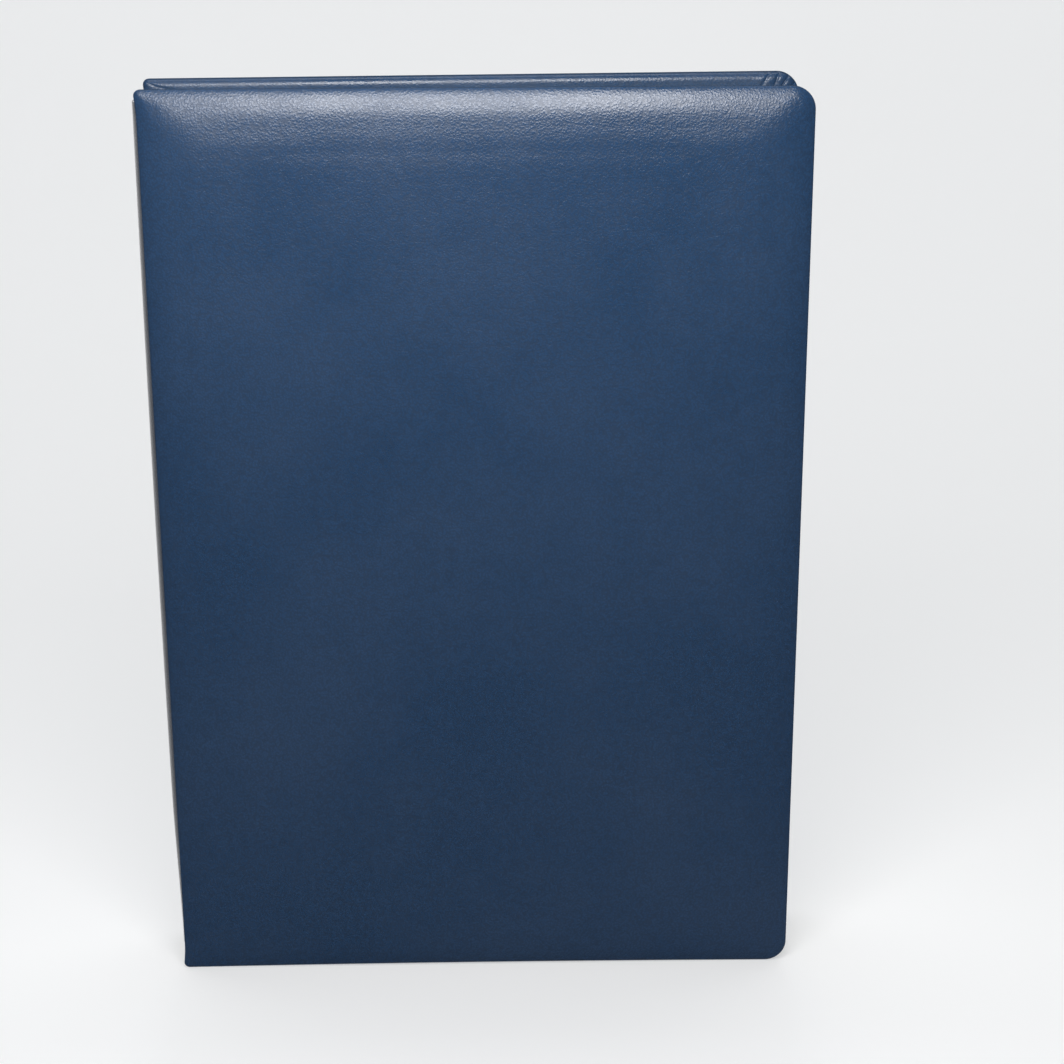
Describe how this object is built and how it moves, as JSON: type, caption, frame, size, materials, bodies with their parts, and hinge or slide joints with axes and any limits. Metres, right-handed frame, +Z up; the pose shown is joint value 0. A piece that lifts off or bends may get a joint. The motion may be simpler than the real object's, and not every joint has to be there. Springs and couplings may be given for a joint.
{
  "type": "padded pilot logbook",
  "caption": "A4 record book: two padded leatherette covers hinged on a flexible spine strip, over a sewn block of leaves with flyleaves that turn with the covers.",
  "frame": {"origin": "on the surface the book stands on, midway between the spine's bulge and the covers' fore edges, and midway between the covers", "axes": "+Z up from the tail to the head; +X from the spine to the fore edge; +Y from the front cover to the rear cover"},
  "size_m": [0.2171, 0.0458, 0.31],
  "materials": {
    "cover_leather": "navy grained leatherette, satin, with a fine pebble and soft creases",
    "spine_leather": "thin bookbinding leatherette seen at a grazing angle, dark grey brown, satin",
    "padding": "open white polyurethane foam sheet",
    "board": "grey millboard",
    "endpaper": "smooth cream endpaper",
    "leaf_paper": "uncoated ledger paper",
    "kraft_paper": "brown kraft paper",
    "mull_cloth": "open starched cotton gauze",
    "linen": "woven linen tape and waxed linen thread",
    "end_band": "rolled cotton band, striped"
  },
  "bodies": {
    "book_block": {"spine_leather": "spine_leather", "spine_lining": "kraft_paper", "spine_mull": "mull_cloth", "sewing_tape_1": "linen", "sewing_tape_2": "linen", "sewing_tape_3": "linen", "sewing_thread": "linen", "head_band": "end_band", "tail_band": "end_band", "section_1": "leaf_paper", "section_2": "leaf_paper", "section_3": "leaf_paper", "section_4": "leaf_paper", "section_5": "leaf_paper", "section_6": "leaf_paper", "section_7": "leaf_paper", "section_8": "leaf_paper"},
    "front_cover": {"front_cover_leather": "cover_leather", "front_cover_foam": "padding", "front_cover_board": "board", "front_pastedown": "endpaper", "front_hinge_tab": "spine_leather"},
    "front_flyleaf": {"front_flyleaf": "endpaper"},
    "front_leaf_1": {"front_leaf_1": "leaf_paper"},
    "front_leaf_2": {"front_leaf_2": "leaf_paper"},
    "front_leaf_3": {"front_leaf_3": "leaf_paper"},
    "rear_cover": {"rear_cover_leather": "cover_leather", "rear_cover_foam": "padding", "rear_cover_board": "board", "rear_pastedown": "endpaper", "rear_hinge_tab": "spine_leather"},
    "rear_flyleaf": {"rear_flyleaf": "endpaper"},
    "rear_leaf_1": {"rear_leaf_1": "leaf_paper"},
    "rear_leaf_2": {"rear_leaf_2": "leaf_paper"},
    "rear_leaf_3": {"rear_leaf_3": "leaf_paper"}
  },
  "joints": [
    {"name": "front_cover_hinge", "type": "hinge", "parent": "book_block", "child": "front_cover", "pos_m": [-0.1071, -0.00975, 0.155], "axis": [0, 0, -1], "range_deg": [-1.3, 170]},
    {"name": "front_flyleaf_turn", "type": "hinge", "parent": "book_block", "child": "front_flyleaf", "pos_m": [-0.10415, -0.0095, 0.155], "axis": [0, 0, -1], "range_deg": [-1.27, 163.68]},
    {"name": "front_leaf_1_turn", "type": "hinge", "parent": "book_block", "child": "front_leaf_1", "pos_m": [-0.10415, -0.0095, 0.155], "axis": [0, 0, -1], "range_deg": [-1.11, 143.22]},
    {"name": "front_leaf_2_turn", "type": "hinge", "parent": "book_block", "child": "front_leaf_2", "pos_m": [-0.10415, -0.0095, 0.155], "axis": [0, 0, -1], "range_deg": [-0.79, 102.3]},
    {"name": "front_leaf_3_turn", "type": "hinge", "parent": "book_block", "child": "front_leaf_3", "pos_m": [-0.10415, -0.0095, 0.155], "axis": [0, 0, -1], "range_deg": [-0.4, 51.15]},
    {"name": "rear_cover_hinge", "type": "hinge", "parent": "book_block", "child": "rear_cover", "pos_m": [-0.1071, 0.00975, 0.155], "axis": [0, 0, 1], "range_deg": [-1.3, 170]},
    {"name": "rear_flyleaf_turn", "type": "hinge", "parent": "book_block", "child": "rear_flyleaf", "pos_m": [-0.10415, 0.0095, 0.155], "axis": [0, 0, 1], "range_deg": [-1.27, 163.68]},
    {"name": "rear_leaf_1_turn", "type": "hinge", "parent": "book_block", "child": "rear_leaf_1", "pos_m": [-0.10415, 0.0095, 0.155], "axis": [0, 0, 1], "range_deg": [-1.11, 143.22]},
    {"name": "rear_leaf_2_turn", "type": "hinge", "parent": "book_block", "child": "rear_leaf_2", "pos_m": [-0.10415, 0.0095, 0.155], "axis": [0, 0, 1], "range_deg": [-0.79, 102.3]},
    {"name": "rear_leaf_3_turn", "type": "hinge", "parent": "book_block", "child": "rear_leaf_3", "pos_m": [-0.10415, 0.0095, 0.155], "axis": [0, 0, 1], "range_deg": [-0.4, 51.15]}
  ],
  "couplings": [
    {"joint": "front_flyleaf_turn", "follows": "front_cover_hinge", "ratio": 0.96},
    {"joint": "front_leaf_1_turn", "follows": "front_cover_hinge", "ratio": 0.84},
    {"joint": "front_leaf_2_turn", "follows": "front_cover_hinge", "ratio": 0.6},
    {"joint": "front_leaf_3_turn", "follows": "front_cover_hinge", "ratio": 0.3},
    {"joint": "rear_flyleaf_turn", "follows": "rear_cover_hinge", "ratio": 0.96},
    {"joint": "rear_leaf_1_turn", "follows": "rear_cover_hinge", "ratio": 0.84},
    {"joint": "rear_leaf_2_turn", "follows": "rear_cover_hinge", "ratio": 0.6},
    {"joint": "rear_leaf_3_turn", "follows": "rear_cover_hinge", "ratio": 0.3}
  ]
}
